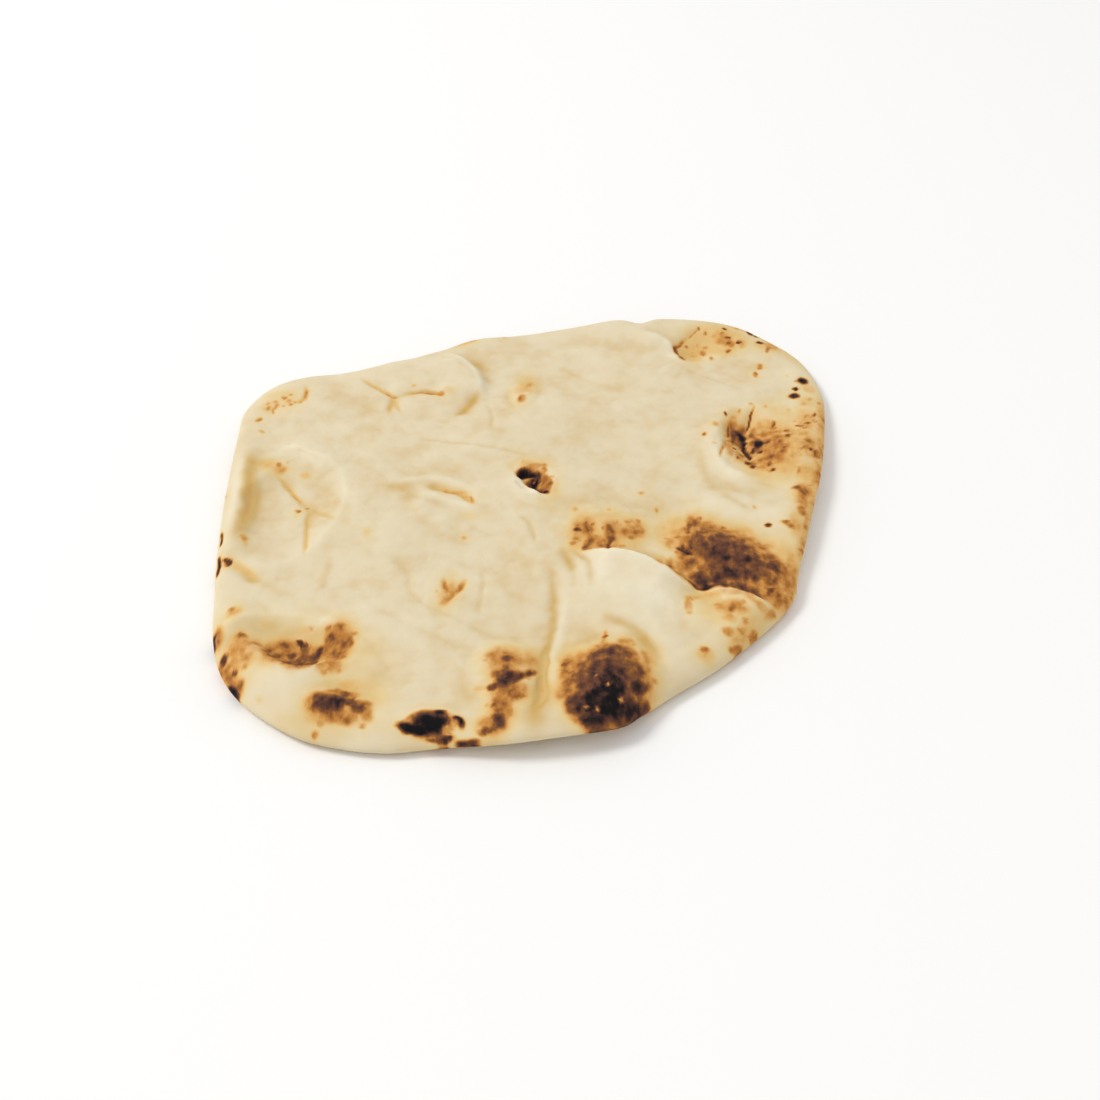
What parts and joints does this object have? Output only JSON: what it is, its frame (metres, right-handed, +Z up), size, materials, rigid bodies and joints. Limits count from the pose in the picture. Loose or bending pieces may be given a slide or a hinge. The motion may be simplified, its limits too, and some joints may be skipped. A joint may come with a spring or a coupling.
{
  "type": "naan",
  "caption": "Puffed leavened flatbread with a rounded rim, browned blisters, folds and hollows, lying flat to be eaten or topped.",
  "frame": {"origin": "under the middle of the bread's box, at the level that it lies on", "axes": "+Z up from the table, +Y along the longer way of the bread to its broad end, +X across to the right"},
  "size_m": [0.2112, 0.2345, 0.011],
  "materials": {
    "baked_crust": "pale baked dough, matte, with tan, brown and charred blisters"
  },
  "bodies": {
    "root": {"naan": "baked_crust"}
  },
  "joints": []
}
